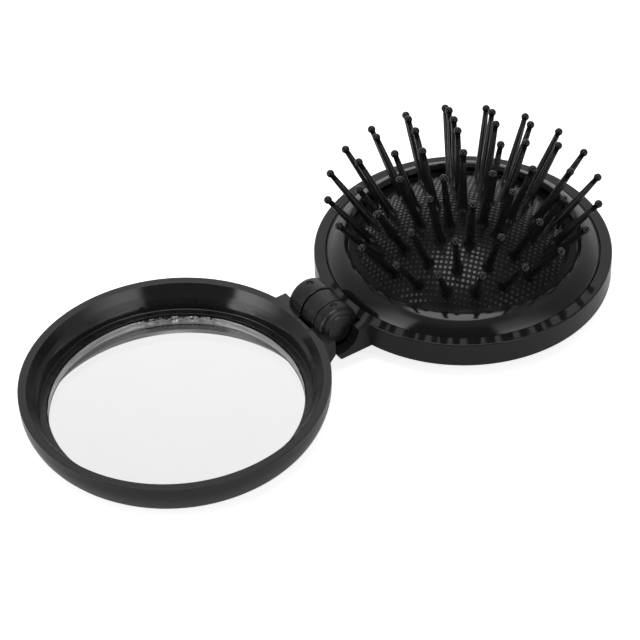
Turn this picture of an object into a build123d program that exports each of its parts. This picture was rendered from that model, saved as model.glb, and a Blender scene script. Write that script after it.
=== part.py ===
from build123d import *
import math
import os

# Folding pocket hairbrush: a round lid with a mirror and a round case with a
# domed rubber pad of ball-tipped pins, joined by a three-knuckle hinge.
# Millimetres, +Z up. Both halves lie open on the surface z = 0, the origin is
# under the hinge pin, and +X runs from the lid to the brush. Rounded edges and
# the dome are turned from short chords, and the pins have flat sides, so that
# the many pieces stay light.

# The two halves
disc_radius = 35.0
rim_gap = 0.1
hinge_offset = 4.615
overrun = 1.0
corner_chords = 3
small_corner_chords = 2

# Lid: dish with a flared wall, a step and a ledge round the mirror's pocket
lid_straight_side = 2.0
lid_rim_width = 1.7
lid_wall_flare = 0.9
lid_wall_depth = 3.6
lid_step_width = 0.9
lid_step_drop = 0.2
lid_lower_flare = 0.6
lid_ledge_width = 1.7
lid_ledge_depth = 6.2
lid_floor_thickness = 1.3

# Mirror, glued into its pocket
glass_depth = 6.6
glass_thickness = 2.4
glass_clearance = 0.13
tape_thickness = 0.3
tape_corner_gap = 2.19994

# Brush case, open at the back for the thumb
case_wall_height = 6.24
case_rim_width = 3.0
plinth_inset = 3.8
plinth_corner_radius = 2.5
shelf_overlap = 0.7
floor_thickness = 1.1
thumb_radius = 17.0
thumb_chamfer = 0.6

# Bezel ring that clamps the rubber
bezel_clearance = 0.25
bezel_seat_drop = 0.7
bezel_edge_height = 0.35
bezel_crest_inset = 2.75
bezel_crest_height = 3.4
bezel_lip_width = 1.6
bezel_lip_drop = 0.3
bezel_lip_undercut = 0.3
bezel_ledge_width = 0.9
bezel_ledge_height = 1.3
bezel_chords = 3

# Rubber pad
dome_rise = 11.42
dome_edge_rise = 0.55
rubber_thickness = 1.2
pad_edge_gap = 0.3
pad_seat_gap = 0.1
pad_flange_thickness = 1.1
pad_flange_inset = 1.2
dome_chords = 4
inner_dome_chords = 2

# Pins, in rings round one in the middle, placed in shares of the dome's half angle
pin_counts = (1, 5, 10, 15, 20)
pin_lean_shares = (0.0, 0.2285, 0.3895, 0.6107, 0.8054)
first_azimuth_degrees = -10.2
pin_sides = 6
pin_length = 16.1
pin_foot_gap = 0.1
pin_foot_radius = 1.3
pin_root_radius = 0.95
pin_root_height = 0.9
pin_neck_radius = 0.6
ball_radius = 0.95
ball_cap_share = 0.45

# Hinge
barrel_radius = 5.0
barrel_end_radius = 2.5
middle_half = 2.4
knuckle_gap = 0.1
knuckle_length = 4.7
socket_gap = 0.3
slot_gap = 0.2
cheek_width = 2.8
hinge_root_bite = 2.05
lid_block_rise = 0.5
lid_block_taper_height = 1.6
lid_block_taper = 1.45
stop_gap = 0.15
lip_reach = 3.2
lip_thickness = 1.25
lip_end_height = 2.1
lip_end_taper = 1.3
scallop_inset = 0.2
scallop_offset = 1.8
pin_bar_radius = 1.0
pin_grip_gap = 0.01
pin_running_gap = 0.05
pin_bar_inset = 0.5
pin_blind_wall = 0.9
dimple_radius = 0.9
dimple_depth = 0.35

# Worked out from the sizes above
half_depth = glass_depth + glass_thickness + tape_thickness + lid_floor_thickness
hinge_height = half_depth + rim_gap / 2
brush_x = disc_radius + hinge_offset
lid_x = -brush_x

lid_rim_radius = disc_radius - lid_rim_width
lid_wall_radius = lid_rim_radius - lid_wall_flare
lid_step_radius = lid_wall_radius - lid_step_width
lid_ledge_radius = lid_step_radius - lid_lower_flare
pocket_radius = lid_ledge_radius - lid_ledge_width
glass_radius = pocket_radius - glass_clearance
tape_side = math.sqrt(2) * (glass_radius - tape_corner_gap)
pocket_floor = lid_floor_thickness

bore_radius = disc_radius - case_rim_width
plinth_radius = disc_radius - plinth_inset
bezel_radius = bore_radius - bezel_clearance
bezel_crest_radius = bezel_radius - bezel_crest_inset
bezel_lip_radius = bezel_crest_radius - bezel_lip_width
bezel_ledge_radius = bezel_lip_radius - bezel_lip_undercut
bezel_inner_radius = bezel_ledge_radius - bezel_ledge_width
bezel_seat = half_depth - bezel_seat_drop
shelf_inner_radius = bezel_inner_radius - shelf_overlap
flange_top = bezel_seat - pad_seat_gap
flange_foot = flange_top - pad_flange_thickness
shelf_height = flange_foot - pad_seat_gap

pad_edge_radius = bezel_inner_radius - pad_edge_gap
dome_height = dome_rise - dome_edge_rise
dome_radius = (pad_edge_radius**2 + dome_height**2) / (2 * dome_height)
dome_centre_height = half_depth + dome_rise - dome_radius
dome_half_angle = math.asin(pad_edge_radius / dome_radius)

knuckle_start = middle_half + knuckle_gap
knuckle_end = knuckle_start + knuckle_length
socket_radius = barrel_radius + socket_gap
socket_end = knuckle_end + socket_gap
hinge_half_width = socket_end + cheek_width
disc_edge_x = math.sqrt(disc_radius**2 - hinge_half_width**2)
hinge_root = brush_x - disc_edge_x + hinge_root_bite
bracket_foot = hinge_height - socket_radius - lip_thickness
lid_block_foot = bracket_foot + lid_block_rise
lid_block_front = -(lip_reach + stop_gap)
pin_start = -knuckle_end + pin_blind_wall


def turned(points):
    """Solid of revolution about Z from a closed outline of (radius, height) points."""
    return revolve(Plane.XZ * make_face(Polyline(*points, close=True)), Axis.Z)


def arc_points(centre, radius, start, end, chords):
    """Points on an arc from the angle start to the angle end, in radians."""
    turns = [start + (end - start) * step / chords for step in range(chords + 1)]
    return [
        (centre[0] + radius * math.cos(turn), centre[1] + radius * math.sin(turn))
        for turn in turns
    ]


def rounded_foot(radius, corner, chords):
    """Quarter round from the flat underside z = 0 up to a wall of that radius."""
    return arc_points((radius - corner, corner), corner, -math.pi / 2, 0, chords)


def bar_along_y(radius, start, end, x, z):
    """Round bar along Y from start to end."""
    middle = (start + end) / 2
    return Pos(x, middle, z) * Rot(90, 0, 0) * Cylinder(radius, end - start)


def side_block(points, start, end):
    """Prism along Y from (x, z) points."""
    face = Plane.XZ * make_face(Polyline(*points, close=True))
    return Pos(0, end, 0) * extrude(face, amount=end - start)


def lid_body():
    """Rounded tray without its dish."""
    edge = rounded_foot(disc_radius, half_depth - lid_straight_side, corner_chords)
    return turned([(0, 0), *edge, (disc_radius, half_depth), (0, half_depth)])


def lid_dish():
    """Cavity of the lid: flared wall, step, ledge and the mirror's pocket."""
    wall_foot = half_depth - lid_wall_depth
    ledge = half_depth - lid_ledge_depth
    return turned(
        [
            (0, pocket_floor),
            (pocket_radius, pocket_floor),
            (pocket_radius, ledge),
            (lid_ledge_radius, ledge),
            (lid_step_radius, wall_foot - lid_step_drop),
            (lid_wall_radius, wall_foot),
            (lid_rim_radius, half_depth),
            (lid_rim_radius, half_depth + overrun),
            (0, half_depth + overrun),
        ]
    )


def lid_hinge_block():
    """Flat block that carries the two outer knuckles."""
    return side_block(
        [
            (lid_block_front, half_depth),
            (lid_block_front, lid_block_foot + lid_block_taper_height),
            (lid_block_front - lid_block_taper, lid_block_foot),
            (-hinge_root, lid_block_foot),
            (-hinge_root, half_depth),
        ],
        -hinge_half_width,
        hinge_half_width,
    )


def outer_knuckle(side):
    """One knuckle of the lid, with a rounded outer end and a dimple on top."""
    centre = (barrel_radius - barrel_end_radius, knuckle_length - barrel_end_radius)
    end = arc_points(centre, barrel_end_radius, 0, math.pi / 2, small_corner_chords)
    barrel = turned([(0, 0), (barrel_radius, 0), *end, (0, knuckle_length)])
    barrel = Pos(0, side * knuckle_start, hinge_height) * Rot(-90 * side, 0, 0) * barrel
    dimple = Cylinder(dimple_radius, 2 * dimple_depth)
    middle = side * (knuckle_start + knuckle_end) / 2
    return barrel - Pos(0, middle, hinge_height + barrel_radius) * dimple


def mirror_lid():
    body = Pos(lid_x, 0, 0) * lid_body() + lid_hinge_block()
    body -= Pos(lid_x, 0, 0) * lid_dish()
    slot_half = middle_half + slot_gap
    body -= bar_along_y(socket_radius, -slot_half, slot_half, 0, hinge_height)
    body += outer_knuckle(1)
    body += outer_knuckle(-1)
    hole_radius = pin_bar_radius + pin_grip_gap
    return body - bar_along_y(hole_radius, pin_start, knuckle_end + overrun, 0, hinge_height)


def mirror_glass():
    disc = Cylinder(glass_radius, glass_thickness)
    return Pos(lid_x, 0, pocket_floor + tape_thickness + glass_thickness / 2) * disc


def mirror_tape():
    square = Box(tape_side, tape_side, tape_thickness)
    return Pos(lid_x, 0, pocket_floor + tape_thickness / 2) * square


def hinge_pin():
    return bar_along_y(pin_bar_radius, pin_start, knuckle_end - pin_bar_inset, 0, hinge_height)


def case_body():
    """Flanged tray without its cavity: a shallow wall over a narrower back."""
    wall_foot = half_depth - case_wall_height
    back = rounded_foot(plinth_radius, plinth_corner_radius, small_corner_chords)
    return turned(
        [
            (0, 0),
            *back,
            (plinth_radius, wall_foot),
            (disc_radius, wall_foot),
            (disc_radius, half_depth),
            (0, half_depth),
        ]
    )


def case_cavity():
    """Bore for the bezel, shelf for the rubber, hollow and thumb opening."""
    return turned(
        [
            (0, -overrun),
            (thumb_radius + thumb_chamfer + overrun, -overrun),
            (thumb_radius, thumb_chamfer),
            (thumb_radius, floor_thickness),
            (shelf_inner_radius, floor_thickness),
            (shelf_inner_radius, shelf_height),
            (bore_radius, shelf_height),
            (bore_radius, half_depth + overrun),
            (0, half_depth + overrun),
        ]
    )


def case_bracket():
    """Cradle under the knuckles; its lip is the stop for the open lid."""
    scallop_radius = barrel_radius - scallop_inset
    block = side_block(
        [
            (-lip_reach, half_depth),
            (-lip_reach, bracket_foot + lip_end_height),
            (-lip_reach + lip_end_taper, bracket_foot),
            (hinge_root, bracket_foot),
            (hinge_root, half_depth),
        ],
        -hinge_half_width,
        hinge_half_width,
    )
    past = hinge_half_width + overrun
    block -= bar_along_y(scallop_radius, -past, past, -scallop_offset, hinge_height)
    return block


def brush_case():
    body = Pos(brush_x, 0, 0) * case_body() + case_bracket()
    for low, high in ((middle_half, socket_end), (-socket_end, -middle_half)):
        body -= bar_along_y(socket_radius, low, high, 0, hinge_height)
    body -= Pos(brush_x, 0, 0) * case_cavity()
    body += bar_along_y(barrel_radius, -middle_half, middle_half, 0, hinge_height)
    hole_radius = pin_bar_radius + pin_running_gap
    return body - bar_along_y(hole_radius, -knuckle_end, knuckle_end, 0, hinge_height)


def bezel_ring():
    """Convex ring with a sharp inner lip over a small ledge."""
    width = bezel_radius - bezel_crest_radius
    rise = bezel_crest_height - bezel_edge_height
    crown = [
        (bezel_crest_radius + width * math.cos(turn), bezel_edge_height + rise * math.sin(turn))
        for turn in (math.pi / 2 * step / bezel_chords for step in range(bezel_chords + 1))
    ]
    ledge = half_depth + bezel_ledge_height
    ring = turned(
        [
            (bezel_inner_radius, bezel_seat),
            (bezel_radius, bezel_seat),
            *[(radius, half_depth + height) for radius, height in crown],
            (bezel_lip_radius, half_depth + bezel_crest_height - bezel_lip_drop),
            (bezel_ledge_radius, ledge),
            (bezel_inner_radius, ledge),
        ]
    )
    return Pos(brush_x, 0, 0) * ring


def rubber_pad():
    """Domed sheet with a flange that lies between shelf and bezel."""
    pad_flange_radius = bore_radius - pad_flange_inset
    inner_edge = pad_edge_radius - rubber_thickness
    inner_dome = dome_radius - rubber_thickness
    centre = (0, dome_centre_height)
    up = math.pi / 2
    outer_turn = math.acos(pad_edge_radius / dome_radius)
    inner_turn = math.acos(inner_edge / inner_dome)
    pad = turned(
        [
            *arc_points(centre, dome_radius, up, outer_turn, dome_chords),
            (pad_edge_radius, flange_top),
            (pad_flange_radius, flange_top),
            (pad_flange_radius, flange_foot),
            (inner_edge, flange_foot),
            *arc_points(centre, inner_dome, inner_turn, up, inner_dome_chords),
        ]
    )
    return Pos(brush_x, 0, 0) * pad


def ball_pin():
    """One pin standing on z = 0: flared foot, tapering shaft, ball tip."""
    levels = [
        (pin_foot_radius, 0),
        (pin_root_radius, pin_root_height),
        (pin_neck_radius, pin_length - math.sqrt(ball_radius**2 - pin_neck_radius**2)),
        (ball_radius, pin_length),
        (ball_radius * ball_cap_share, pin_length + ball_radius),
    ]
    turns = [2 * math.pi * step / pin_sides for step in range(pin_sides)]
    rings = [
        [(radius * math.cos(turn), radius * math.sin(turn), height) for turn in turns]
        for radius, height in levels
    ]
    outlines = [rings[0], rings[-1]]
    for lower, upper in zip(rings, rings[1:]):
        for step in range(pin_sides):
            after = (step + 1) % pin_sides
            outlines.append([lower[step], lower[after], upper[after], upper[step]])
    sides = [Face(Wire.make_polygon(outline)) for outline in outlines]
    return Solid(Shell(sides))


def pin_places():
    """Name and plane of each pin's foot, ring by ring."""
    centre = Vector(brush_x, 0, dome_centre_height)
    for ring, (count, share) in enumerate(zip(pin_counts, pin_lean_shares)):
        for index in range(count):
            azimuth = math.radians(first_azimuth_degrees + 360 * index / count)
            tilt = share * dome_half_angle
            out = Vector(math.cos(azimuth), math.sin(azimuth), 0)
            up = out * math.sin(tilt) + Vector(0, 0, math.cos(tilt))
            side = Vector(-math.sin(azimuth), math.cos(azimuth), 0)
            foot = centre + up * (dome_radius + pin_foot_gap)
            yield f"pin_{ring}_{index + 1:02d}", Plane(foot, x_dir=side, z_dir=up)


def parts():
    yield "mirror_lid", mirror_lid()
    yield "mirror_glass", mirror_glass()
    yield "mirror_tape", mirror_tape()
    yield "hinge_pin", hinge_pin()
    yield "brush_case", brush_case()
    yield "bezel_ring", bezel_ring()
    yield "rubber_pad", rubber_pad()
    pin = ball_pin()
    for name, place in pin_places():
        yield name, place * pin


os.makedirs("parts", exist_ok=True)
for name, shape in parts():
    export_step(shape, f"parts/{name}.step")
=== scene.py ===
import math

import bmesh
import bpy
from mathutils import Matrix, Vector


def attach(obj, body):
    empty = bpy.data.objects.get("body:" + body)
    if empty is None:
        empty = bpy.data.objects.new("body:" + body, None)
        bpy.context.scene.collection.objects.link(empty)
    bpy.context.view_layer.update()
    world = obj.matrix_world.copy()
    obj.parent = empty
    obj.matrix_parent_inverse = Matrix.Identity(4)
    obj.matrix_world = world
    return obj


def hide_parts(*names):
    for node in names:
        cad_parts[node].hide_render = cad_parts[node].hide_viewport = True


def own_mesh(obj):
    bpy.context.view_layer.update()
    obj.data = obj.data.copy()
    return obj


# Folding pocket hairbrush, open on a pale table: the round lid with its glass
# mirror on the left, the case with the rubber cushion and its ball-tipped pins
# on the right, and the three-knuckle hinge between them. Sizes are in
# millimetres as a maker would say them, and mm turns them into metres.

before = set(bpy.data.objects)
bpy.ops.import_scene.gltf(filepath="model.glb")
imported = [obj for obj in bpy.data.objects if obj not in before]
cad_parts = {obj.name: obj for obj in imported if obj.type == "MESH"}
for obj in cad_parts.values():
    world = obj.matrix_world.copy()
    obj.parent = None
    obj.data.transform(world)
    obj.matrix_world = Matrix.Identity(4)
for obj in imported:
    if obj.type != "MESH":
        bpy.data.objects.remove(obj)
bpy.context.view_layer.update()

mm = 0.001
turning_steps = 192
rod_steps = 96
hole_steps = 48

# Camera fitted to the photograph: angles in radians, the rest in millimetres
camera_turn = -0.5608
camera_rise = 0.71955
camera_roll = -0.0405
camera_distance = 576.01
camera_target = Vector((-2.258, -2.331, 10.6))
camera_lens = 142.15
camera_sensor = 36.0

# The two halves and the hinge
disc_radius = 35.0
half_depth = 10.6
brush_x = 39.615
lid_x = -brush_x
hinge_height = 10.65
lid_rim_edge = 0.12
case_rim_edge = 0.35

# Lid and mirror; a pair is a place's distance from the tray's axis and its height
lid_roll = 8.6
lid_rim_inner = 33.08
lid_wall_foot = (31.68, 8.5)
lid_step_edge = (30.97, 7.65)
lid_ledge_outer = (30.9, 4.4)
pocket_radius = 29.2
pocket_floor = 1.3
glass_radius = 28.97
glass_foot = 1.63
glass_top = 4.0
glass_arris = 0.12

# Case, bezel and cushion; a slope is a length and the angle in degrees at its end
plinth_radius = 31.2
plinth_corner = 2.5
case_wall_foot = 4.36
bore_radius = 32.3
shelf_height = 8.6
shelf_inner = 25.5
case_floor = 1.1
thumb_radius = 17.0
thumb_chamfer = 0.6
bezel_seat = 9.9
bezel_crest = (27.85, 13.97)
bezel_crest_slope = -12.0
bezel_slopes = ((1.9, -35.0), (2.7, -50.0), (1.1, -62.0))
bezel_lip = (26.95, 13.15)
bezel_ledge = (27.05, 11.7)
bezel_inner = 26.2
dome_radius = 36.2918
dome_centre = -14.2718
rubber_thickness = 1.2
pad_edge = 25.9
pad_brim = (26.7, 11.82)
pad_blend = 24.3
flange_radius = 30.8
flange_top = 9.8
flange_foot = 8.7

# Pins, ring by ring from the middle: how many, and how far they lean in degrees
pin_counts = (1, 5, 10, 15, 20)
pin_leans = (0.0, 10.41, 17.74, 27.81, 36.67)
first_turn = -10.2

# Knuckles, in places along Y; side 1 is towards +Y and side -1 towards -Y
barrel_radius = 5.0
socket_radius = 5.3
middle_radius = 4.9
middle_knuckle = (-3.35, 1.4)
knuckle_start = {1: 1.8, -1: 3.65}
knuckle_end = 7.45
knuckle_shoulder = 1.35
knuckle_disc_height = 0.3
knuckle_disc = 3.3
dimple_place = 4.85
slot_radius = 5.8
slot_ends = (-3.5, 1.6)
socket_end = 7.75

# Hinge blocks; a foot is (x, z), and a hole its radius, start and end along Y
hinge_half_width = 10.3
hinge_root = 8.216
block_top = half_depth - 0.015
block_bevel = 0.25
lid_block_front = -3.35
lid_block_bend = 6.2
lid_block_foot = (-4.8, 4.6)
lid_block_back = -hinge_root - 1.5
lid_core = 33.75
lid_hole = (1.01, -6.3, 7.7)
bracket_front = -3.2
bracket_bend = 6.2
bracket_foot = (-1.9, 4.1)
bracket_back = hinge_root + 1.2
case_core = 33.0
case_hole = (1.05, -7.2, 7.2)
scallop_radius = 4.8
scallop_x = -1.8
scallop_half = 13.0

# Unpolished plastic round the hinge
satin_reach = 5.45
satin_half_width = 7.9


def softened(corners, steps=4):
    """Closed outline of (x, z, corner radius), with its corners rounded."""
    outline = []
    for index, (x, z, radius) in enumerate(corners):
        corner = Vector((x, z))
        if radius == 0:
            outline.append(corner)
            continue
        back = (Vector(corners[index - 1][:2]) - corner).normalized()
        on = (Vector(corners[(index + 1) % len(corners)][:2]) - corner).normalized()
        half = back.angle(on) / 2
        centre = corner + (back + on).normalized() * radius / math.sin(half)
        first = corner + back * radius / math.tan(half) - centre
        last = corner + on * radius / math.tan(half) - centre
        for step in range(steps + 1):
            outline.append(centre + first.slerp(last, step / steps) * radius)
    return outline


def quarter_round(centre, radius, start, end, steps):
    """Points of an arc between two angles in degrees, as sharp outline corners."""
    points = []
    for step in range(steps + 1):
        turn = math.radians(start + (end - start) * step / steps)
        points.append(
            (centre[0] + radius * math.cos(turn), centre[1] + radius * math.sin(turn), 0)
        )
    return points


def sloping(start, slope, stretches, step=3.0):
    """Points of a line that leaves start at a slope in degrees and turns steadily over each
    (length, slope at its end)."""
    x, z = start
    points = [(x, z, 0)]
    for length, end in stretches:
        count = max(1, round(abs(end - slope) / step))
        for index in range(count):
            here = math.radians(slope + (end - slope) * (index + 0.5) / count)
            x += length / count * math.cos(here)
            z += length / count * math.sin(here)
            points.append((x, z, 0))
        slope = end
    return points


def new_piece(name, shell):
    """Makes a smooth-shaded object at the origin from a finished bmesh."""
    bmesh.ops.recalc_face_normals(shell, faces=shell.faces)
    mesh = bpy.data.meshes.new(name)
    shell.to_mesh(mesh)
    shell.free()
    mesh.shade_smooth()
    piece = bpy.data.objects.new(name, mesh)
    bpy.context.scene.collection.objects.link(piece)
    return piece


def turned(name, outline, x=0.0, steps=turning_steps):
    """Solid turned about the upright line at x from a closed (radius, height) outline."""
    shell = bmesh.new()
    rings = []
    for radius, height in outline:
        if radius < 1e-6:
            rings.append([shell.verts.new((x * mm, 0, height * mm))] * steps)
            continue
        rings.append(
            [
                shell.verts.new(
                    (
                        (x + radius * math.cos(2 * math.pi * step / steps)) * mm,
                        radius * math.sin(2 * math.pi * step / steps) * mm,
                        height * mm,
                    )
                )
                for step in range(steps)
            ]
        )
    for lower, upper in zip(rings, rings[1:] + rings[:1]):
        for step in range(steps):
            after = (step + 1) % steps
            corners = [lower[step], lower[after], upper[after], upper[step]]
            kept = list(dict.fromkeys(corners))
            if len(kept) > 2:
                shell.faces.new(kept)
    return new_piece(name, shell)


def laid_along_y(piece, start, x, z, flip=1):
    """Lays a turned solid down, so that its axis runs along Y from start."""
    turn = Matrix.Rotation(math.radians(-90 * flip), 4, "X")
    piece.data.transform(Matrix.Translation((x * mm, start * mm, z * mm)) @ turn)
    return piece


def rod(name, radius, start, end, x=0.0, steps=rod_steps):
    """Plain round bar along Y at the hinge's height."""
    length = end - start
    bar = turned(name, [(0, 0), (radius, 0), (radius, length), (0, length)], steps=steps)
    return laid_along_y(bar, start, x, hinge_height)


def core(radius, x):
    """Upright bar that clears a hinge block out of the inside of its tray."""
    return turned("core", [(0, -5), (radius, -5), (radius, 15), (0, 15)], x)


def side_block(name, outline):
    """Hinge block along Y from an (x, z) outline, its end edges rounded."""
    shell = bmesh.new()
    ends = []
    for side in (-1, 1):
        y = side * hinge_half_width * mm
        verts = [shell.verts.new((x * mm, y, z * mm)) for x, z in outline]
        ends.append(verts)
        shell.faces.new(verts)
    count = len(outline)
    for index in range(count):
        after = (index + 1) % count
        shell.faces.new(
            [ends[0][index], ends[0][after], ends[1][after], ends[1][index]]
        )
    rims = [
        edge for edge in shell.edges if abs(edge.verts[0].co.y - edge.verts[1].co.y) < 1e-9
    ]
    bmesh.ops.recalc_face_normals(shell, faces=shell.faces)
    bmesh.ops.bevel(
        shell,
        geom=rims,
        offset=block_bevel * mm,
        segments=3,
        profile=0.5,
        affect="EDGES",
        clamp_overlap=True,
    )
    return new_piece(name, shell)


def settled(piece):
    """Turns a piece's modifiers into its mesh."""
    bpy.context.view_layer.update()
    evaluated = piece.evaluated_get(bpy.context.evaluated_depsgraph_get())
    mesh = bpy.data.meshes.new_from_object(evaluated)
    mesh.name = piece.name
    piece.modifiers.clear()
    old = piece.data
    piece.data = mesh
    bpy.data.meshes.remove(old)
    return piece


def worked(piece, tool, operation):
    """Adds a tool solid to a piece or cuts it away, and removes the tool."""
    step = piece.modifiers.new("work", "BOOLEAN")
    step.solver = "EXACT"
    step.operation = operation
    step.object = tool
    settled(piece)
    bpy.data.objects.remove(tool)
    return piece


def dressed_edges(piece, angle=32):
    """Keeps real corners crisp and lets the broad faces set the shading."""
    shell = bmesh.new()
    shell.from_mesh(piece.data)
    bmesh.ops.remove_doubles(shell, verts=shell.verts, dist=1e-7)
    bmesh.ops.dissolve_degenerate(shell, edges=shell.edges, dist=1e-7)
    shell.to_mesh(piece.data)
    shell.free()
    piece.data.shade_smooth()
    piece.data.set_sharp_from_angle(angle=math.radians(angle))
    weighting = piece.modifiers.new("broad_faces", "WEIGHTED_NORMAL")
    weighting.keep_sharp = True
    return settled(piece)


def second_skin(piece, material, chosen):
    """Gives a second material to the faces whose middle, in millimetres, is chosen."""
    piece.data.materials.append(material)
    for face in piece.data.polygons:
        if chosen(face.center / mm):
            face.material_index = 1


def at_hinge(middle):
    """Whether a place belongs to the knuckles and their sockets."""
    reach = math.hypot(middle.x, middle.z - hinge_height)
    return reach < satin_reach and abs(middle.y) < satin_half_width


def on_lid_ledge(middle):
    """Whether a place lies on the lid's ledge round the mirror."""
    reach = math.hypot(middle.x - lid_x, middle.y)
    outer, height = lid_ledge_outer
    return pocket_radius < reach < outer - 0.4 and abs(middle.z - height) < 0.1


def add(tree, kind, values=None, **settings):
    """Adds one node with its settings, its inputs given as values or as other outputs."""
    made = tree.nodes.new(kind)
    for key, value in settings.items():
        setattr(made, key, value)
    for key, value in (values or {}).items():
        if isinstance(value, bpy.types.NodeSocket):
            tree.links.new(value, made.inputs[key])
        else:
            made.inputs[key].default_value = value
    return made


def maths(tree, operation, *values):
    """Math node's output for one to three values."""
    return add(
        tree, "ShaderNodeMath", dict(enumerate(values)), operation=operation
    ).outputs[0]


def vector_maths(tree, operation, *values, output=0):
    """Vector Math node's output for one or two vectors."""
    return add(
        tree, "ShaderNodeVectorMath", dict(enumerate(values)), operation=operation
    ).outputs[output]


def new_material(name):
    """Empty material with a Principled shader and object coordinates."""
    material = bpy.data.materials.new(name)
    material.use_nodes = True
    tree = material.node_tree
    tree.nodes.clear()
    shader = add(tree, "ShaderNodeBsdfPrincipled")
    add(tree, "ShaderNodeOutputMaterial", {"Surface": shader.outputs[0]})
    place = add(tree, "ShaderNodeTexCoord").outputs["Object"]
    return material, tree, shader, place


def noise(tree, place, scale, detail=2.0, roughness=0.5, stretch=None):
    """Noise value over a place, in features per metre."""
    if stretch:
        place = add(
            tree, "ShaderNodeMapping", {"Vector": place, "Scale": stretch}
        ).outputs[0]
    return add(
        tree,
        "ShaderNodeTexNoise",
        {"Vector": place, "Scale": scale, "Detail": detail, "Roughness": roughness},
    ).outputs["Fac"]


def spread(tree, value, low, high, to_low, to_high):
    """Maps a value from one range to another, held at its ends."""
    return add(
        tree,
        "ShaderNodeMapRange",
        {
            "Value": value,
            "From Min": low,
            "From Max": high,
            "To Min": to_low,
            "To Max": to_high,
        },
    ).outputs[0]


def relief(tree, height, strength, distance):
    """Bump normal from a height."""
    return add(
        tree,
        "ShaderNodeBump",
        {"Height": height, "Strength": strength, "Distance": distance},
    ).outputs[0]


def blended(tree, factor, low, high):
    """Neutral colour between two grey levels."""
    mixed = add(
        tree,
        "ShaderNodeMix",
        {0: factor, 6: (low, low, low, 1), 7: (high, high, high, 1)},
        data_type="RGBA",
    )
    return mixed.outputs[2]


def moulded_plastic(name, shade, gloss, wave, scuff, shine, dished=False):
    """Black moulded plastic: slow mould ripple, fine haze and a few hair scratches."""
    material, tree, shader, place = new_material(name)
    ripple = noise(tree, place, 120, 1, 0.4)
    haze = noise(tree, place, 1400, 3, 0.6)
    along = noise(tree, place, 700, 2, 0.5, (1.0, 22.0, 8.0))
    across = noise(tree, place, 700, 2, 0.5, (18.0, 1.4, 8.0))
    scratch = spread(tree, maths(tree, "MAXIMUM", along, across), 0.70, 0.80, 0.0, 1.0)
    patch = spread(tree, noise(tree, place, 55, 1, 0.5), 0.45, 0.75, 0.0, 1.0)
    worn = maths(tree, "MULTIPLY", scratch, patch)
    rough = spread(tree, haze, 0.3, 0.7, gloss, gloss * 1.35)
    rough = maths(tree, "MULTIPLY_ADD", worn, scuff, rough)
    tint = blended(tree, spread(tree, haze, 0.35, 0.75, 0.0, 1.0), shade * 0.93, shade * 1.07)
    tree.links.new(tint, shader.inputs["Base Color"])
    tree.links.new(relief(tree, ripple, wave, 0.0002), shader.inputs["Normal"])
    shader.inputs["IOR"].default_value = 1.5
    shader.inputs["Specular IOR Level"].default_value = shine
    if dished:
        rough, polish = dish_finish(tree, place, rough, shine)
        tree.links.new(polish, shader.inputs["Specular IOR Level"])
    tree.links.new(rough, shader.inputs["Roughness"])
    return material


def dish_finish(tree, place, rough, shine):
    """Roughness and shine with the lid's dish polished, and its near half rubbed dull."""
    reach, near = round_lid(tree, place)
    dish = spread(tree, reach, 0.0331, 0.0333, 1.0, 0.0)
    rubbed = maths(tree, "MULTIPLY", dish, spread(tree, near, -0.012, 0.004, 0.0, 1.0))
    polish = maths(tree, "MULTIPLY_ADD", dish, 0.22, shine)
    polish = maths(tree, "MULTIPLY_ADD", rubbed, -0.5, polish)
    rough = maths(tree, "MULTIPLY_ADD", dish, 0.04, rough)
    return maths(tree, "MULTIPLY_ADD", rubbed, 0.45, rough), polish


def satin_plastic():
    """The same black plastic where the mould was left unpolished: hinge and mirror ledge."""
    material, tree, shader, place = new_material("satin_black")
    grain = noise(tree, place, 2300, 3, 0.65)
    flow = noise(tree, place, 420, 2, 0.5)
    tree.links.new(blended(tree, flow, 0.005, 0.013), shader.inputs["Base Color"])
    tree.links.new(spread(tree, flow, 0.35, 0.65, 0.24, 0.42), shader.inputs["Roughness"])
    tree.links.new(relief(tree, grain, 0.25, 0.00005), shader.inputs["Normal"])
    shader.inputs["IOR"].default_value = 1.5
    return material


def cushion_rubber():
    """Soft black rubber between the bumps, with a fine tooth and a slight bloom."""
    material, tree, shader, place = new_material("cushion_rubber")
    tooth = noise(tree, place, 5200, 3, 0.6)
    bloom = noise(tree, place, 190, 3, 0.55)
    tint = blended(tree, spread(tree, bloom, 0.3, 0.75, 0.0, 1.0), 0.002, 0.004)
    tree.links.new(tint, shader.inputs["Base Color"])
    rough = maths(tree, "MULTIPLY_ADD", tooth, 0.10, spread(tree, bloom, 0.3, 0.7, 0.36, 0.46))
    tree.links.new(rough, shader.inputs["Roughness"])
    tree.links.new(relief(tree, tooth, 0.2, 0.00006), shader.inputs["Normal"])
    shader.inputs["IOR"].default_value = 1.5
    shader.inputs["Specular IOR Level"].default_value = 0.17
    return material


def bump_rubber():
    """Smooth, slightly shiny tops of the bumps."""
    material, tree, shader, place = new_material("bump_rubber")
    bloom = noise(tree, place, 260, 3, 0.55)
    tint = blended(tree, spread(tree, bloom, 0.3, 0.75, 0.0, 1.0), 0.0025, 0.005)
    tree.links.new(tint, shader.inputs["Base Color"])
    tree.links.new(spread(tree, bloom, 0.3, 0.7, 0.12, 0.24), shader.inputs["Roughness"])
    shader.inputs["IOR"].default_value = 1.5
    return material


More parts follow.
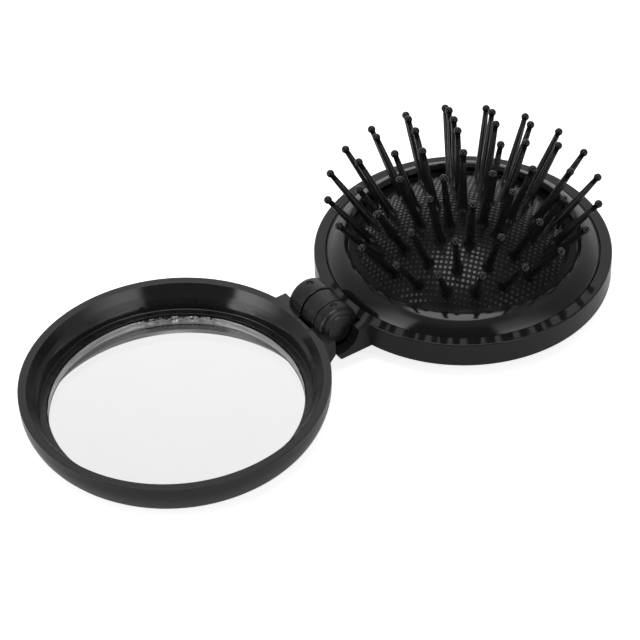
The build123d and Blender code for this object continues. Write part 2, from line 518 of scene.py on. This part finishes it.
def pin_nylon():
    """Satin black nylon of the pins' shafts, drawn slightly along their length."""
    material, tree, shader, place = new_material("pin_nylon")
    grain = noise(tree, place, 2600, 3, 0.6, (1.0, 1.0, 0.25))
    tint = blended(tree, grain, 0.0075, 0.0095)
    tree.links.new(tint, shader.inputs["Base Color"])
    tree.links.new(spread(tree, grain, 0.3, 0.7, 0.1, 0.2), shader.inputs["Roughness"])
    tree.links.new(relief(tree, grain, 0.12, 0.00005), shader.inputs["Normal"])
    shader.inputs["IOR"].default_value = 1.5
    return material


def ball_coating():
    """Dipped coating of the ball tips, glossy and a little uneven."""
    material, tree, shader, place = new_material("ball_coating")
    skin = noise(tree, place, 1500, 2, 0.5)
    tint = blended(tree, skin, 0.002, 0.004)
    tree.links.new(tint, shader.inputs["Base Color"])
    tree.links.new(spread(tree, skin, 0.3, 0.7, 0.02, 0.07), shader.inputs["Roughness"])
    tree.links.new(relief(tree, skin, 0.08, 0.0001), shader.inputs["Normal"])
    shader.inputs["IOR"].default_value = 1.5
    shader.inputs["Specular IOR Level"].default_value = 0.38
    return material


def drawn_steel():
    """Bright drawn wire: fine lines along the pin."""
    material, tree, shader, place = new_material("drawn_steel")
    lines = noise(tree, place, 2400, 3, 0.6, (1.0, 0.03, 1.0))
    tint = blended(tree, lines, 0.50, 0.66)
    tree.links.new(tint, shader.inputs["Base Color"])
    tree.links.new(spread(tree, lines, 0.3, 0.7, 0.16, 0.3), shader.inputs["Roughness"])
    tree.links.new(relief(tree, lines, 0.2, 0.00004), shader.inputs["Normal"])
    shader.inputs["Metallic"].default_value = 1.0
    return material


def foam_tape():
    """Grey foam tape that holds the mirror."""
    material, tree, shader, place = new_material("foam_tape")
    cells = add(
        tree, "ShaderNodeTexVoronoi", {"Vector": place, "Scale": 2600.0}, feature="F1"
    ).outputs["Distance"]
    tree.links.new(blended(tree, cells, 0.30, 0.45), shader.inputs["Base Color"])
    tree.links.new(relief(tree, cells, 0.5, 0.0001), shader.inputs["Normal"])
    shader.inputs["Roughness"].default_value = 0.8
    return material


def silvering():
    """Silver layer behind the glass, very slightly uneven."""
    material, tree, shader, place = new_material("silvering")
    cloud = noise(tree, place, 90, 2, 0.5)
    tree.links.new(blended(tree, cloud, 0.93, 0.95), shader.inputs["Base Color"])
    tree.links.new(spread(tree, cloud, 0.3, 0.7, 0.0, 0.012), shader.inputs["Roughness"])
    shader.inputs["Metallic"].default_value = 1.0
    return material


def round_lid(tree, place):
    """Distance of a place from the lid's axis, and how far it lies towards the camera's side."""
    flat = vector_maths(tree, "MULTIPLY", place, (1.0, 1.0, 0.0))
    offset = vector_maths(tree, "SUBTRACT", flat, (lid_x * mm, 0.0, 0.0))
    reach = vector_maths(tree, "LENGTH", offset, output="Value")
    near = vector_maths(tree, "DOT_PRODUCT", offset, tuple(direction(0, 0)), output="Value")
    return reach, near


def float_glass():
    """Clear mirror glass, polished on top, its far arris chipped in handling."""
    material, tree, shader, place = new_material("float_glass")
    cloud = noise(tree, place, 60, 2, 0.5)
    reach, near = round_lid(tree, place)
    grit = noise(tree, place, 1150, 2, 0.6)
    grit = maths(tree, "ADD", grit, spread(tree, reach, 0.0273, 0.029, -0.12, 0.1))
    chips = maths(
        tree, "MULTIPLY",
        spread(tree, grit, 0.53, 0.56, 0.0, 1.0),
        spread(tree, near, -0.0272, -0.0266, 1.0, 0.0),
    )
    clean = maths(tree, "SUBTRACT", 1.0, chips)
    tree.links.new(blended(tree, clean, 0.01, 0.99), shader.inputs["Base Color"])
    rough = maths(tree, "MULTIPLY_ADD", chips, 0.4, spread(tree, cloud, 0.3, 0.7, 0.0, 0.01))
    tree.links.new(rough, shader.inputs["Roughness"])
    tree.links.new(clean, shader.inputs["Transmission Weight"])
    shader.inputs["IOR"].default_value = 1.5
    return material


def ground_edge():
    """Ground edge of the glass, frosted white, with a dark line where it meets the top."""
    material, tree, shader, place = new_material("ground_edge")
    grit = noise(tree, place, 1500, 3, 0.6)
    height = add(tree, "ShaderNodeSeparateXYZ", {0: place}).outputs[2]
    tree.links.new(
        blended(tree, spread(tree, height, 0.0033, 0.0036, 1.0, 0.2), 0.02, 0.98),
        shader.inputs["Base Color"],
    )
    tree.links.new(spread(tree, grit, 0.3, 0.7, 0.25, 0.4), shader.inputs["Roughness"])
    tree.links.new(relief(tree, grit, 0.3, 0.0001), shader.inputs["Normal"])
    shader.inputs["Transmission Weight"].default_value = 0.3
    shader.inputs["IOR"].default_value = 1.5
    return material


def lid_tray(plastic, satin):
    """Lid: rolled back, flat rim, flared wall with its step, and the hinge block."""
    roll = quarter_round((disc_radius - lid_roll, lid_roll), lid_roll, -90, 0, 14)
    tray = turned(
        "lid_tray",
        softened(
            [
                (0, 0, 0),
                *roll,
                (disc_radius, half_depth, lid_rim_edge),
                (lid_rim_inner, half_depth, 0.06),
                (*lid_wall_foot, 0.15),
                (*lid_step_edge, 0.12),
                (*lid_ledge_outer, 0.25),
                (pocket_radius, lid_ledge_outer[1], 0.1),
                (pocket_radius, pocket_floor, 0),
                (0, pocket_floor, 0),
            ],
            6,
        ),
        lid_x,
    )
    outline = softened(
        [
            (lid_block_front, block_top, 0.15),
            (lid_block_front, lid_block_bend, 0.3),
            (*lid_block_foot, 0.3),
            (lid_block_back, lid_block_foot[1], 0),
            (lid_block_back, block_top, 0),
        ]
    )
    block = side_block("hinge_block", outline)
    worked(block, core(lid_core, lid_x), "DIFFERENCE")
    worked(tray, block, "UNION")
    worked(tray, rod("slot", slot_radius, *slot_ends), "DIFFERENCE")
    for side in (1, -1):
        worked(tray, outer_knuckle(side), "UNION")
    worked(tray, rod("hole", *lid_hole, steps=hole_steps), "DIFFERENCE")
    tray.data.materials.clear()
    tray.data.materials.append(plastic)
    second_skin(tray, satin, lambda middle: at_hinge(middle) or on_lid_ledge(middle))
    return dressed_edges(tray)


def outer_knuckle(side):
    """One of the lid's two knuckles, with a rounded shoulder, a raised disc at its end and a
    dimple on top."""
    length = knuckle_end - knuckle_start[side]
    foot = length - knuckle_disc_height
    outline = softened(
        [
            (0, 0, 0),
            (barrel_radius, 0, 0.25),
            (barrel_radius, foot, knuckle_shoulder),
            (knuckle_disc + 0.1, foot, 0.1),
            (knuckle_disc, length, 0.25),
            (0, length, 0),
        ],
        8,
    )
    barrel = turned("knuckle", outline, steps=rod_steps)
    laid_along_y(barrel, side * knuckle_start[side], 0, hinge_height, side)
    dip = softened([(0, -0.45, 0), (0.7, -0.45, 0.2), (1.25, 1.2, 0), (0, 1.2, 0)])
    dimple = turned("dimple", dip, steps=40)
    top = Vector((0, side * dimple_place, hinge_height + barrel_radius))
    dimple.data.transform(Matrix.Translation(top * mm))
    return worked(barrel, dimple, "DIFFERENCE")


def mirror(glass, silver, ground):
    """Mirror: polished glass with a ground edge over its silvered back."""
    outline = [
        (0, glass_foot),
        (glass_radius, glass_foot),
        (glass_radius, glass_top - glass_arris),
        (glass_radius - glass_arris, glass_top),
        (0, glass_top),
    ]
    piece = turned("mirror", outline, lid_x, 256)
    for material in (glass, silver, ground):
        piece.data.materials.append(material)
    for face in piece.data.polygons:
        face.use_smooth = abs(face.normal.z) < 0.9
        if face.normal.z < -0.9:
            face.material_index = 1
        elif face.normal.z < 0.9:
            face.material_index = 2
    return piece


def brush_case(plastic, satin):
    """Case: plinth, wall, bore with its shelf, thumb opening, bracket and middle knuckle."""
    body = turned(
        "brush_shell",
        softened(
            [
                (thumb_radius + thumb_chamfer, 0, 0.15),
                *quarter_round(
                    (plinth_radius - plinth_corner, plinth_corner), plinth_corner, -90, 0, 8
                ),
                (plinth_radius, case_wall_foot, 0.2),
                (disc_radius, case_wall_foot, 0.3),
                (disc_radius, half_depth, case_rim_edge),
                (bore_radius, half_depth, 0.1),
                (bore_radius, shelf_height, 0),
                (shelf_inner, shelf_height, 0.15),
                (shelf_inner, case_floor, 0.4),
                (thumb_radius, case_floor, 0.15),
                (thumb_radius, thumb_chamfer, 0.12),
            ]
        ),
        brush_x,
    )
    bracket = side_block(
        "bracket",
        softened(
            [
                (bracket_front, block_top, 0.12),
                (bracket_front, bracket_bend, 0.25),
                (*bracket_foot, 0.4),
                (bracket_back, bracket_foot[1], 0),
                (bracket_back, block_top, 0),
            ]
        ),
    )
    worked(bracket, core(case_core, brush_x), "DIFFERENCE")
    scallop = rod("scallop", scallop_radius, -scallop_half, scallop_half, scallop_x)
    worked(bracket, scallop, "DIFFERENCE")
    worked(body, bracket, "UNION")
    for start, end in ((middle_knuckle[1], socket_end), (-socket_end, middle_knuckle[0])):
        worked(body, rod("socket", socket_radius, start, end), "DIFFERENCE")
    middle_length = middle_knuckle[1] - middle_knuckle[0]
    knuckle = turned(
        "middle_knuckle",
        softened(
            [
                (0, 0, 0),
                (middle_radius, 0, 0.22),
                (middle_radius, middle_length, 0.22),
                (0, middle_length, 0),
            ]
        ),
        steps=rod_steps,
    )
    worked(body, laid_along_y(knuckle, middle_knuckle[0], 0, hinge_height), "UNION")
    worked(body, rod("hole", *case_hole, steps=hole_steps), "DIFFERENCE")
    body.data.materials.clear()
    body.data.materials.append(plastic)
    second_skin(body, satin, at_hinge)
    return dressed_edges(body)


def bezel(plastic):
    """Bezel: crowned ring that falls away from its crest, with a bevelled lip over the cushion."""
    crown = sloping(bezel_crest, bezel_crest_slope, bezel_slopes)
    ring = turned(
        "bezel",
        softened(
            [
                (bezel_inner, bezel_seat, 0),
                (crown[-1][0], bezel_seat, 0),
                *reversed(crown[1:]),
                (*bezel_crest, 0.45),
                (*bezel_lip, 0.12),
                (*bezel_ledge, 0.1),
                (bezel_inner, bezel_ledge[1], 0.1),
            ]
        ),
        brush_x,
    )
    ring.data.materials.append(plastic)
    return dressed_edges(ring, 28)


def pin_places():
    """Lean, turn and name of each pin, ring by ring, in degrees."""
    places = []
    for ring, (count, lean) in enumerate(zip(pin_counts, pin_leans)):
        for index in range(count):
            turn = first_turn + 360.0 * index / count
            places.append((f"pin_{ring}_{index + 1:02d}", lean, turn))
    return places


def tree_with(name, sizes):
    """Geometry node tree with a geometry input, named sizes and a geometry output."""
    tree = bpy.data.node_groups.new(name, "GeometryNodeTree")
    tree.interface.new_socket(name="Geometry", in_out="INPUT", socket_type="NodeSocketGeometry")
    for label, kind in sizes.items():
        tree.interface.new_socket(name=label, in_out="INPUT", socket_type="NodeSocket" + kind)
    tree.interface.new_socket(name="Geometry", in_out="OUTPUT", socket_type="NodeSocketGeometry")
    given = tree.nodes.new("NodeGroupInput").outputs
    return tree, given


def grown(piece, tree, values):
    """Runs a geometry node tree on a piece with the given sizes, and keeps the result."""
    step = piece.modifiers.new(tree.name, "NODES")
    step.node_group = tree
    for socket in tree.interface.items_tree:
        if socket.in_out == "INPUT" and socket.name in values:
            step[socket.identifier] = values[socket.name]
    return settled(piece)


def cushion_tree():
    """Rows of small round bumps, projected straight down on the dome and kept clear of the pins'
    feet.
    """
    tree, given = tree_with(
        "cushion_bumps",
        {
            "Dome Radius": "Float",
            "Dome Centre": "Vector",
            "Pitch": "Float",
            "Reach": "Float",
            "Row Turn": "Float",
            "Bump Radius": "Float",
            "Bump Height": "Float",
            "Foot Clearance": "Float",
            "Seed": "Int",
            "Pin Feet": "Object",
            "Rubber": "Material",
            "Bumps": "Material",
        },
    )
    across = maths(tree, "MULTIPLY", given["Reach"], 2.0)
    pitches = maths(tree, "FLOOR", maths(tree, "DIVIDE", across, given["Pitch"]))
    count = maths(tree, "ADD", pitches, 1)
    width = maths(tree, "MULTIPLY", maths(tree, "SUBTRACT", count, 1), given["Pitch"])
    rows = add(
        tree,
        "GeometryNodeMeshGrid",
        {"Size X": width, "Size Y": width, "Vertices X": count, "Vertices Y": count},
    ).outputs["Mesh"]
    turn = add(tree, "ShaderNodeCombineXYZ", {"Z": given["Row Turn"]}).outputs[0]
    rows = add(
        tree, "GeometryNodeTransform", {"Geometry": rows, "Rotation": turn}
    ).outputs[0]
    spot = add(tree, "GeometryNodeInputPosition").outputs[0]
    off_centre = vector_maths(tree, "LENGTH", spot, output="Value")
    beyond = add(
        tree,
        "FunctionNodeCompare",
        {"A": off_centre, "B": given["Reach"]},
        operation="GREATER_THAN",
    ).outputs[0]
    rows = add(
        tree, "GeometryNodeDeleteGeometry", {"Geometry": rows, "Selection": beyond}
    ).outputs[0]
    squared = vector_maths(tree, "DOT_PRODUCT", spot, spot, output="Value")
    dome_squared = maths(tree, "MULTIPLY", given["Dome Radius"], given["Dome Radius"])
    drop = maths(tree, "SQRT", maths(tree, "SUBTRACT", dome_squared, squared))
    lift = add(tree, "ShaderNodeCombineXYZ", {"Z": drop}).outputs[0]
    lifted = add(tree, "GeometryNodeSetPosition", {"Geometry": rows, "Offset": lift}).outputs[0]
    bump = add(
        tree,
        "GeometryNodeMeshCone",
        {
            "Vertices": 12,
            "Side Segments": 1,
            "Fill Segments": 1,
            "Radius Top": maths(tree, "MULTIPLY", given["Bump Radius"], 0.86),
            "Radius Bottom": given["Bump Radius"],
            "Depth": maths(tree, "MULTIPLY", given["Bump Height"], 2.0),
        },
    )
    sunk = add(
        tree,
        "ShaderNodeCombineXYZ",
        {"Z": maths(tree, "MULTIPLY", given["Bump Height"], -1.0)},
    ).outputs[0]
    sides = bump.outputs["Side"]
    bump = add(
        tree, "GeometryNodeTransform", {"Geometry": bump.outputs["Mesh"], "Translation": sunk}
    ).outputs[0]
    bump = add(
        tree, "GeometryNodeSetShadeSmooth", {"Geometry": bump, "Selection": sides}
    ).outputs[0]
    bump = add(
        tree, "GeometryNodeSetMaterial", {"Geometry": bump, "Material": given["Bumps"]}
    ).outputs[0]
    size = add(
        tree,
        "FunctionNodeRandomValue",
        {2: 0.95, 3: 1.05, "Seed": given["Seed"]},
        data_type="FLOAT",
    ).outputs[1]
    placed = add(
        tree,
        "GeometryNodeTransform",
        {"Geometry": lifted, "Translation": given["Dome Centre"]},
    ).outputs[0]
    feet = add(
        tree, "GeometryNodeObjectInfo", {"Object": given["Pin Feet"]}
    ).outputs["Geometry"]
    near = add(
        tree, "GeometryNodeProximity", {"Geometry": feet}, target_element="POINTS"
    )
    taken = add(
        tree,
        "FunctionNodeCompare",
        {"A": near.outputs["Distance"], "B": given["Foot Clearance"]},
        operation="LESS_THAN",
    ).outputs[0]
    facing = add(
        tree,
        "FunctionNodeAlignRotationToVector",
        {
            "Vector": vector_maths(tree, "SUBTRACT", spot, given["Dome Centre"])
        },
        axis="Z",
    ).outputs[0]
    kept = add(
        tree, "GeometryNodeDeleteGeometry", {"Geometry": placed, "Selection": taken}
    ).outputs[0]
    bumps = add(
        tree,
        "GeometryNodeInstanceOnPoints",
        {"Points": kept, "Instance": bump, "Rotation": facing, "Scale": size},
    ).outputs[0]
    dome = add(
        tree,
        "GeometryNodeSetMaterial",
        {"Geometry": given["Geometry"], "Material": given["Rubber"]},
    ).outputs[0]
    whole = add(tree, "GeometryNodeJoinGeometry")
    tree.links.new(dome, whole.inputs[0])
    tree.links.new(bumps, whole.inputs[0])
    real = add(tree, "GeometryNodeRealizeInstances", {0: whole.outputs[0]}).outputs[0]
    tree.links.new(real, tree.nodes.new("NodeGroupOutput").inputs[0])
    return tree


def cushion(rubber, bumps):
    """Rubber cushion: domed sheet with its flange, covered in fine bumps."""
    inner = dome_radius - rubber_thickness
    outer_end = math.degrees(math.acos(pad_blend / dome_radius))
    inner_end = math.degrees(math.acos((pad_edge - rubber_thickness) / inner))
    top = quarter_round((0, dome_centre), dome_radius, 90, outer_end, 28)
    under = quarter_round((0, dome_centre), inner, inner_end, 90, 28)
    slope = outer_end - 90
    width = pad_brim[0] - top[-1][0]
    rise = top[-1][1] - pad_brim[1]
    end_slope = -2 * math.degrees(math.atan2(rise, width)) - slope
    brim = sloping(
        top[-1][:2], slope, ((math.hypot(width, rise) * 1.01, end_slope),)
    )
    outline = [
        (0, dome_centre + dome_radius, 0),
        *top[1:],
        *brim[1:],
        (pad_edge, pad_brim[1] - 0.12, 0),
        (pad_edge, flange_top, 0),
        (flange_radius, flange_top, 0),
        (flange_radius, flange_foot, 0),
        (pad_edge - rubber_thickness, flange_foot, 0),
        *under[:-1],
        (0, dome_centre + inner, 0),
    ]
    piece = turned("cushion", [point[:2] for point in outline], brush_x)
    dressed_edges(piece)
    feet_mesh = bpy.data.meshes.new("pin_feet")
    feet_mesh.from_pydata([foot_of(lean, turn) for _, lean, turn in pin_places()], [], [])
    feet = bpy.data.objects.new("pin_feet", feet_mesh)
    bpy.context.scene.collection.objects.link(feet)
    for material in (rubber, bumps):
        piece.data.materials.append(material)
    grown(
        piece,
        cushion_tree(),
        {
            "Dome Radius": dome_radius * mm,
            "Dome Centre": (brush_x * mm, 0.0, dome_centre * mm),
            "Pitch": 1.12 * mm,
            "Reach": 24.9 * mm,
            "Row Turn": math.radians(-46.0),
            "Bump Radius": 0.43 * mm,
            "Bump Height": 0.13 * mm,
            "Foot Clearance": 1.65 * mm,
            "Seed": 7,
            "Pin Feet": feet,
            "Rubber": rubber,
            "Bumps": bumps,
        },
    )
    bpy.data.objects.remove(feet)
    return piece


def foot_of(lean, turn):
    """Where a pin's axis meets the dome, in metres."""
    lean, turn = math.radians(lean), math.radians(turn)
    return (
        (brush_x + dome_radius * math.sin(lean) * math.cos(turn)) * mm,
        dome_radius * math.sin(lean) * math.sin(turn) * mm,
        (dome_centre + dome_radius * math.cos(lean)) * mm,
    )


def pin_tree():
    """One ball-tipped pin: flared foot, tapering shaft and ball, leaning out of the dome."""
    tree, given = tree_with(
        "ball_pin",
        {
            "Length": "Float",
            "Foot Radius": "Float",
            "Root Radius": "Float",
            "Neck Radius": "Float",
            "Ball Radius": "Float",
            "Flare": "Float",
            "Seat": "Float",
            "Lean": "Float",
            "Turn": "Float",
            "Dome Centre": "Vector",
            "Nylon": "Material",
            "Coating": "Material",
        },
    )
    shaft_steps, ball_steps = 12, 14
    steps = shaft_steps + ball_steps
    line = add(tree, "GeometryNodeMeshLine", {"Count": steps + 1}).outputs[0]
    step = add(tree, "GeometryNodeInputIndex").outputs[0]
    shaft_share = maths(tree, "POWER", maths(tree, "DIVIDE", step, shaft_steps), 1.35)
    neck_turn = maths(
        tree, "ARCSINE", maths(tree, "DIVIDE", given["Neck Radius"], given["Ball Radius"])
    )
    neck_height = maths(
        tree,
        "SUBTRACT",
        given["Length"],
        maths(tree, "MULTIPLY", given["Ball Radius"], maths(tree, "COSINE", neck_turn)),
    )
    shaft_height = maths(tree, "MULTIPLY", shaft_share, neck_height)
    taper = maths(
        tree,
        "MULTIPLY_ADD",
        maths(tree, "SUBTRACT", given["Neck Radius"], given["Root Radius"]),
        shaft_share,
        given["Root Radius"],
    )
    flares = maths(tree, "DIVIDE", shaft_height, given["Flare"])
    fall = maths(tree, "EXPONENT", maths(tree, "MULTIPLY", flares, -1.0))
    shaft_radius = maths(
        tree,
        "MULTIPLY_ADD",
        maths(tree, "SUBTRACT", given["Foot Radius"], given["Root Radius"]),
        fall,
        taper,
    )
    ball_step = maths(tree, "SUBTRACT", step, shaft_steps)
    ball_share = maths(tree, "DIVIDE", ball_step, ball_steps)
    ball_turn = maths(
        tree,
        "MULTIPLY_ADD",
        maths(tree, "SUBTRACT", math.pi, neck_turn),
        ball_share,
        neck_turn,
    )
    ball_height = maths(
        tree,
        "SUBTRACT",
        given["Length"],
        maths(tree, "MULTIPLY", given["Ball Radius"], maths(tree, "COSINE", ball_turn)),
    )
    ball_radius_here = maths(
        tree, "MULTIPLY", given["Ball Radius"], maths(tree, "SINE", ball_turn)
    )
    on_ball = add(
        tree, "FunctionNodeCompare", {"A": step, "B": shaft_steps}, operation="GREATER_THAN"
    ).outputs[0]
    height = add(
        tree,
        "GeometryNodeSwitch",
        {"Switch": on_ball, "False": shaft_height, "True": ball_height},
        input_type="FLOAT",
    ).outputs[0]
    radius = add(
        tree,
        "GeometryNodeSwitch",
        {"Switch": on_ball, "False": shaft_radius, "True": ball_radius_here},
        input_type="FLOAT",
    ).outputs[0]
    where = add(tree, "ShaderNodeCombineXYZ", {"Z": height}).outputs[0]
    line = add(tree, "GeometryNodeSetPosition", {"Geometry": line, "Position": where}).outputs[0]
    line = add(
        tree,
        "GeometryNodeStoreNamedAttribute",
        {"Geometry": line, "Name": "reach", "Value": radius},
        data_type="FLOAT",
        domain="POINT",
    ).outputs[0]
    line = add(
        tree,
        "GeometryNodeStoreNamedAttribute",
        {"Geometry": line, "Name": "tip", "Value": on_ball},
        data_type="BOOLEAN",
        domain="POINT",
    ).outputs[0]
    curve = add(tree, "GeometryNodeMeshToCurve", {0: line}).outputs[0]
    reach = add(
        tree, "GeometryNodeInputNamedAttribute", {"Name": "reach"}, data_type="FLOAT"
    ).outputs[0]
    ring = add(
        tree, "GeometryNodeCurvePrimitiveCircle", {"Resolution": 14, "Radius": 1.0}, mode="RADIUS"
    ).outputs[0]
    skin = add(
        tree,
        "GeometryNodeCurveToMesh",
        {"Curve": curve, "Profile Curve": ring, "Scale": reach, "Fill Caps": True},
    ).outputs[0]
    skin = add(
        tree, "GeometryNodeMergeByDistance", {"Geometry": skin, "Distance": 0.000002}
    ).outputs[0]
    skin = add(tree, "GeometryNodeSetShadeSmooth", {"Geometry": skin}).outputs[0]
    seat = add(tree, "ShaderNodeCombineXYZ", {"Z": given["Seat"]}).outputs[0]
    skin = add(
        tree, "GeometryNodeTransform", {"Geometry": skin, "Translation": seat}
    ).outputs[0]
    leaning = add(
        tree, "ShaderNodeCombineXYZ", {"Y": given["Lean"], "Z": given["Turn"]}
    ).outputs[0]
    skin = add(
        tree,
        "GeometryNodeTransform",
        {"Geometry": skin, "Translation": given["Dome Centre"], "Rotation": leaning},
    ).outputs[0]
    real = add(tree, "GeometryNodeRealizeInstances", {0: skin}).outputs[0]
    done = add(
        tree, "GeometryNodeSetMaterial", {"Geometry": real, "Material": given["Nylon"]}
    ).outputs[0]
    tip = add(
        tree, "GeometryNodeInputNamedAttribute", {"Name": "tip"}, data_type="BOOLEAN"
    ).outputs[0]
    done = add(
        tree,
        "GeometryNodeSetMaterial",
        {"Geometry": done, "Selection": tip, "Material": given["Coating"]},
    ).outputs[0]
    tree.links.new(done, tree.nodes.new("NodeGroupOutput").inputs[0])
    return tree


def pins(nylon, coating):
    """All the pins, each its own piece on its own body."""
    tree = pin_tree()
    for name, lean, turn in pin_places():
        mesh = bpy.data.meshes.new(name)
        piece = bpy.data.objects.new("ball_" + name, mesh)
        bpy.context.scene.collection.objects.link(piece)
        grown(
            piece,
            tree,
            {
                "Length": 16.23 * mm,
                "Foot Radius": 1.45 * mm,
                "Root Radius": 1.08 * mm,
                "Neck Radius": 0.63 * mm,
                "Ball Radius": 0.95 * mm,
                "Flare": 0.6 * mm,
                "Seat": (dome_radius - 0.03) * mm,
                "Lean": math.radians(lean),
                "Turn": math.radians(turn),
                "Dome Centre": (brush_x * mm, 0.0, dome_centre * mm),
                "Nylon": nylon,
                "Coating": coating,
            },
        )
        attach(piece, name + "_body")
        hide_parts(name)


def table_top():
    """Pale matt table top, washed out in the camera's view as in the photograph."""
    shell = bmesh.new()
    bmesh.ops.create_grid(shell, x_segments=2, y_segments=2, size=2.5)
    mesh = bpy.data.meshes.new("table_top")
    shell.to_mesh(mesh)
    shell.free()
    floor = bpy.data.objects.new("table_top", mesh)
    bpy.context.scene.collection.objects.link(floor)
    material, tree, shader, place = new_material("table_paper")
    fibre = noise(tree, place, 900, 3, 0.6)
    tree.links.new(blended(tree, fibre, 0.84, 0.87), shader.inputs["Base Color"])
    shader.inputs["Roughness"].default_value = 0.9
    shader.inputs["Specular IOR Level"].default_value = 0.1
    seen = add(tree, "ShaderNodeLightPath").outputs["Is Camera Ray"]
    shader.inputs["Emission Color"].default_value = (1, 1, 1, 1)
    tree.links.new(maths(tree, "MULTIPLY", seen, 0.8), shader.inputs["Emission Strength"])
    mesh.materials.append(material)


def direction(turn, rise):
    """Unit vector towards a place round the object, turned from the camera's side and raised
    above the table."""
    turn = camera_turn + turn
    return Vector(
        (
            math.sin(turn) * math.cos(rise),
            -math.cos(turn) * math.cos(rise),
            math.sin(rise),
        )
    )


def photograph_camera():
    """Camera at the photograph's place, with its slight roll."""
    back = direction(0, camera_rise)
    right = Vector((math.cos(camera_turn), math.sin(camera_turn), 0))
    up = back.cross(right)
    turned_right = math.cos(camera_roll) * right + math.sin(camera_roll) * up
    turned_up = -math.sin(camera_roll) * right + math.cos(camera_roll) * up
    axes = Matrix((turned_right, turned_up, back)).transposed().to_4x4()
    data = bpy.data.cameras.new("photograph_camera")
    data.lens = camera_lens
    data.sensor_width = camera_sensor
    data.clip_start, data.clip_end = 0.01, 20.0
    camera = bpy.data.objects.new("photograph_camera", data)
    camera.matrix_world = Matrix.Translation((camera_target + back * camera_distance) * mm) @ axes
    bpy.context.scene.collection.objects.link(camera)
    bpy.context.scene.camera = camera


def shoulder(tree, value, low, high):
    """Smooth step from 0 at low to 1 at high, or down where low is above high."""
    made = add(
        tree,
        "ShaderNodeMapRange",
        {
            "Value": value,
            "From Min": min(low, high),
            "From Max": max(low, high),
            "To Min": 0.0 if low < high else 1.0,
            "To Max": 1.0 if low < high else 0.0,
        },
        interpolation_type="SMOOTHSTEP",
    )
    return made.outputs[0]


def product(tree, *values):
    """Product of several values."""
    result = values[0]
    for value in values[1:]:
        result = maths(tree, "MULTIPLY", result, value)
    return result


def studio():
    """Room round the table: soft boxes left and right of the camera, faint sides, a backdrop
    beyond, one box overhead, and walls that are dimmer behind the camera. Places in degrees."""
    world = bpy.data.worlds.new("studio")
    bpy.context.scene.world = world
    world.use_nodes = True
    tree = world.node_tree
    tree.nodes.clear()
    way = add(tree, "ShaderNodeTexCoord").outputs["Generated"]

    def along(axis):
        return vector_maths(tree, "DOT_PRODUCT", way, tuple(axis), output="Value")

    near = along(direction(0, 0))
    side = along(direction(math.pi / 2, 0))
    degrees = math.degrees(1)
    heading = maths(tree, "ARCTAN2", side, near)
    turn = maths(tree, "MULTIPLY", heading, degrees)
    height = add(tree, "ShaderNodeSeparateXYZ", {0: way}).outputs[2]
    rise = maths(tree, "MULTIPLY", maths(tree, "ARCSINE", height), degrees)
    across = maths(tree, "ABSOLUTE", turn)

    left = product(
        tree,
        shoulder(tree, turn, -44.0, -50.0),
        shoulder(tree, turn, -88.0, -54.0),
        spread(tree, rise, 5.0, 48.0, 3.4, 1.2),
        shoulder(tree, rise, 57.0, 46.0),
    )
    right = product(
        tree,
        shoulder(tree, turn, 20.0, 28.0),
        shoulder(tree, turn, 76.0, 36.0),
        spread(tree, rise, 5.0, 43.0, 2.5, 0.9),
        shoulder(tree, rise, 60.0, 42.0),
    )
    sides = product(
        tree,
        shoulder(tree, across, 45.0, 72.0),
        shoulder(tree, across, 130.0, 90.0),
        shoulder(tree, rise, 38.0, 54.0),
        shoulder(tree, rise, 76.0, 60.0),
        0.15,
    )
    away = spread(tree, maths(tree, "COSINE", heading), 1.0, -1.0, 0.0, 1.0)
    beyond = maths(tree, "POWER", away, 5.0)
    backdrop = product(
        tree,
        beyond,
        spread(tree, rise, 12.0, 45.0, 1.2, 0.62),
        shoulder(tree, rise, 53.0, 46.0),
    )
    high = along(direction(math.radians(-60), math.radians(87)))
    overhead = product(
        tree,
        shoulder(tree, high, math.cos(math.radians(22)), math.cos(math.radians(15))),
        2.9,
    )
    dim = product(tree, shoulder(tree, across, 75.0, 35.0), shoulder(tree, rise, 62.0, 40.0))
    total = maths(tree, "MULTIPLY_ADD", dim, -0.22, 0.29)
    for light in (left, right, sides, backdrop, overhead):
        total = maths(tree, "ADD", light, total)
    back = add(tree, "ShaderNodeBackground", {"Color": (1, 1, 1, 1), "Strength": total})
    add(tree, "ShaderNodeOutputWorld", {"Surface": back.outputs[0]})
    world.cycles.sampling_method = "MANUAL"
    world.cycles.sample_map_resolution = 1024


photograph_camera()
studio()
table_top()

lid_black = moulded_plastic("lid_black", 0.014, 0.05, 0.006, 0.08, 0.38, dished=True)
case_black = moulded_plastic("case_black", 0.010, 0.07, 0.02, 0.1, 0.3)
polished_black = moulded_plastic("polished_black", 0.0085, 0.075, 0.02, 0.06, 0.45)
satin_black = satin_plastic()

tray = lid_tray(lid_black, satin_black)
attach(tray, "lid")
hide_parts("mirror_lid")

looking_glass = mirror(float_glass(), silvering(), ground_edge())
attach(looking_glass, "lid")
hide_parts("mirror_glass")

case = brush_case(case_black, satin_black)
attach(case, "brush")
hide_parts("brush_case")

ring = bezel(polished_black)
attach(ring, "brush")
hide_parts("bezel_ring")

pad = cushion(cushion_rubber(), bump_rubber())
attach(pad, "brush")
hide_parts("rubber_pad")
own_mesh(pad)

pins(pin_nylon(), ball_coating())

for node, material in (("hinge_pin", drawn_steel()), ("mirror_tape", foam_tape())):
    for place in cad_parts[node].material_slots:
        place.material = material

bpy.context.scene.view_settings.view_transform = "Standard"
